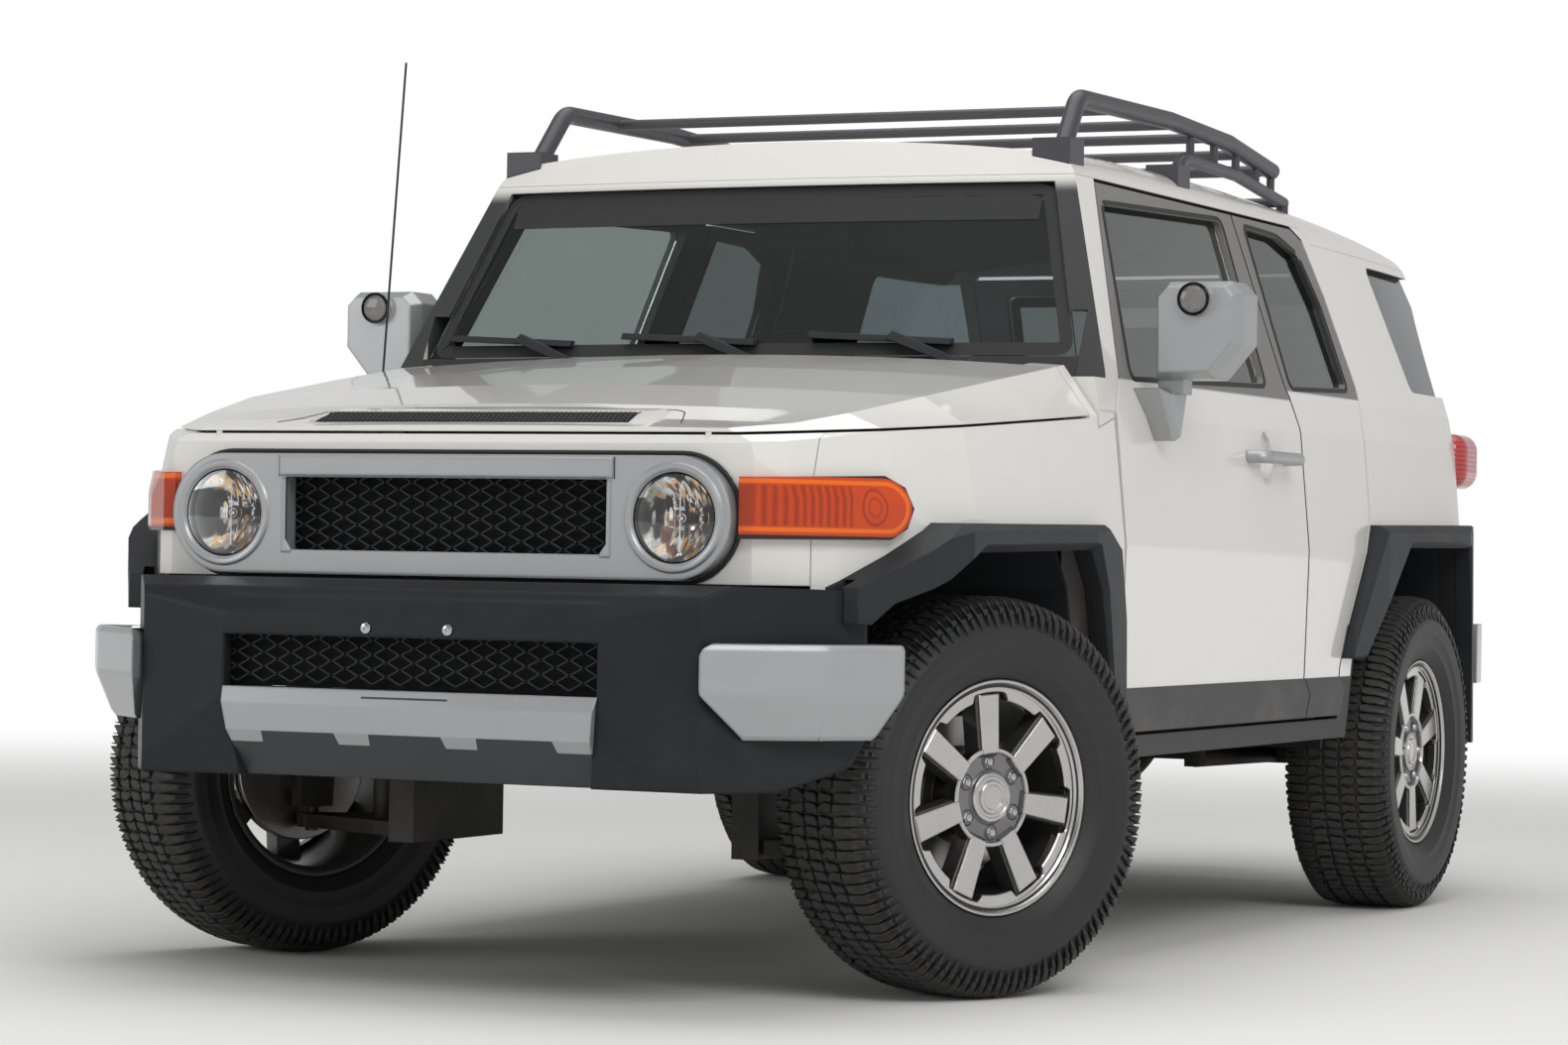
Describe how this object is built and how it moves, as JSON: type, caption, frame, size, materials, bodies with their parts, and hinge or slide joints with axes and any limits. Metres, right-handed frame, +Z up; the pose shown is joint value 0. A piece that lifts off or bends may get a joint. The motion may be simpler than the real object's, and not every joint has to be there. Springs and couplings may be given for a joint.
{
  "type": "lifted off-road 4x4",
  "caption": "Tall off-road wagon on a ladder frame, with steered front wheels, side and access doors, a roof rack and a spare wheel on the tailgate.",
  "frame": {"origin": "centre of the bounding box on the floor, bottom of the tyres", "axes": "+X to the vehicle's left, nose towards -Y, +Z up"},
  "size_m": [2.198, 4.67, 1.9703],
  "materials": {
    "amber_lens": "amber lens",
    "black_plastic": "grained dark plastic",
    "body_paint": "gloss warm white paint",
    "cabin_plastic": "grained cabin plastic",
    "cast_metal": "cast, rough",
    "dark_metal": "dark grey powder coat",
    "exhaust_steel": "heat stained steel",
    "frame_steel": "satin chassis coat",
    "lamp_glass": "clear lamp lens",
    "red_lens": "red lens",
    "seat_cloth": "dark woven cloth",
    "silver_paint": "satin silver paint on plastic",
    "tinted_glass": "tinted window glass",
    "tyre_rubber": "all terrain tyre rubber",
    "underbody_steel": "dark underbody coat",
    "wheel_alloy": "machined face, dark pockets"
  },
  "bodies": {
    "root": {"antenna": "dark_metal", "arch_liners": "black_plastic", "body_side_left": "body_paint", "body_side_right": "body_paint", "bulkhead": "underbody_steel", "bumper_trims": "silver_paint", "chassis_frame": "frame_steel", "dashboard": "cabin_plastic", "driveline": "cast_metal", "engine_block": "cast_metal", "exhaust": "exhaust_steel", "fenders": "body_paint", "fixed_glass": "tinted_glass", "flares": "black_plastic", "floor_pan": "underbody_steel", "front_bumper": "black_plastic", "front_panel": "body_paint", "front_suspension": "frame_steel", "fuel_tank": "black_plastic", "grille_meshes": "black_plastic", "grille_surround": "silver_paint", "headlamps": "lamp_glass", "rear_axle": "frame_steel", "rear_bumper": "black_plastic", "roof_panel": "body_paint", "roof_rack": "dark_metal", "seats": "seat_cloth", "tail_lamps": "red_lens", "turn_lamps": "amber_lens", "wipers": "black_plastic"},
    "hood": {"hood": "body_paint"},
    "door_front_left": {"door_front_left": "body_paint", "glass_front_left": "tinted_glass", "mirror_left": "silver_paint", "handle_left": "silver_paint"},
    "door_front_right": {"door_front_right": "body_paint", "glass_front_right": "tinted_glass", "mirror_right": "silver_paint", "handle_right": "silver_paint"},
    "door_rear_left": {"door_rear_left": "body_paint", "glass_rear_left": "tinted_glass"},
    "door_rear_right": {"door_rear_right": "body_paint", "glass_rear_right": "tinted_glass"},
    "tailgate": {"tailgate": "body_paint", "glass_tailgate": "tinted_glass", "spare_carrier": "frame_steel", "tyre_spare": "tyre_rubber", "rim_spare": "wheel_alloy"},
    "knuckle_front_left": {"knuckle_front_left": "cast_metal"},
    "knuckle_front_right": {"knuckle_front_right": "cast_metal"},
    "wheel_front_left": {"tyre_front_left": "tyre_rubber", "rim_front_left": "wheel_alloy"},
    "wheel_front_right": {"tyre_front_right": "tyre_rubber", "rim_front_right": "wheel_alloy"},
    "wheel_rear_left": {"tyre_rear_left": "tyre_rubber", "rim_rear_left": "wheel_alloy"},
    "wheel_rear_right": {"tyre_rear_right": "tyre_rubber", "rim_rear_right": "wheel_alloy"}
  },
  "joints": [
    {"name": "hood_hinge", "type": "hinge", "parent": "root", "child": "hood", "pos_m": [0, -1.037, 1.284], "axis": [-1, 0, 0], "range_deg": [0, 50]},
    {"name": "front_left_door", "type": "hinge", "parent": "root", "child": "door_front_left", "pos_m": [0.908, -0.886, 1], "axis": [0, 0, -1], "range_deg": [0, 68]},
    {"name": "front_right_door", "type": "hinge", "parent": "root", "child": "door_front_right", "pos_m": [-0.908, -0.886, 1], "axis": [0, 0, 1], "range_deg": [0, 68]},
    {"name": "rear_left_door", "type": "hinge", "parent": "root", "child": "door_rear_left", "pos_m": [0.915, 0.775, 1], "axis": [0, 0, 1], "range_deg": [0, 78]},
    {"name": "rear_right_door", "type": "hinge", "parent": "root", "child": "door_rear_right", "pos_m": [-0.915, 0.775, 1], "axis": [0, 0, -1], "range_deg": [0, 78]},
    {"name": "tailgate_hinge", "type": "hinge", "parent": "root", "child": "tailgate", "pos_m": [0.578, 1.967, 1], "axis": [0, 0, -1], "range_deg": [0, 90]},
    {"name": "steer_left", "type": "hinge", "parent": "root", "child": "knuckle_front_left", "pos_m": [0.7265, -1.465, 0.396], "axis": [0, 0, 1], "range_deg": [-8, 58]},
    {"name": "steer_right", "type": "hinge", "parent": "root", "child": "knuckle_front_right", "pos_m": [-0.7265, -1.465, 0.396], "axis": [0, 0, 1], "range_deg": [-8, 58]},
    {"name": "spin_front_left", "type": "hinge", "parent": "knuckle_front_left", "child": "wheel_front_left", "pos_m": [0.79538, -1.49712, 0.396], "axis": [0.9063, -0.4226, 0], "continuous": true},
    {"name": "spin_front_right", "type": "hinge", "parent": "knuckle_front_right", "child": "wheel_front_right", "pos_m": [-0.79538, -1.43288, 0.396], "axis": [0.9063, -0.4226, 0], "continuous": true},
    {"name": "spin_rear_left", "type": "hinge", "parent": "root", "child": "wheel_rear_left", "pos_m": [0.8025, 1.225, 0.396], "axis": [1, 0, 0], "continuous": true},
    {"name": "spin_rear_right", "type": "hinge", "parent": "root", "child": "wheel_rear_right", "pos_m": [-0.8025, 1.225, 0.396], "axis": [1, 0, 0], "continuous": true}
  ],
  "couplings": [
    {"joint": "steer_right", "follows": "steer_left", "ratio": 1}
  ]
}
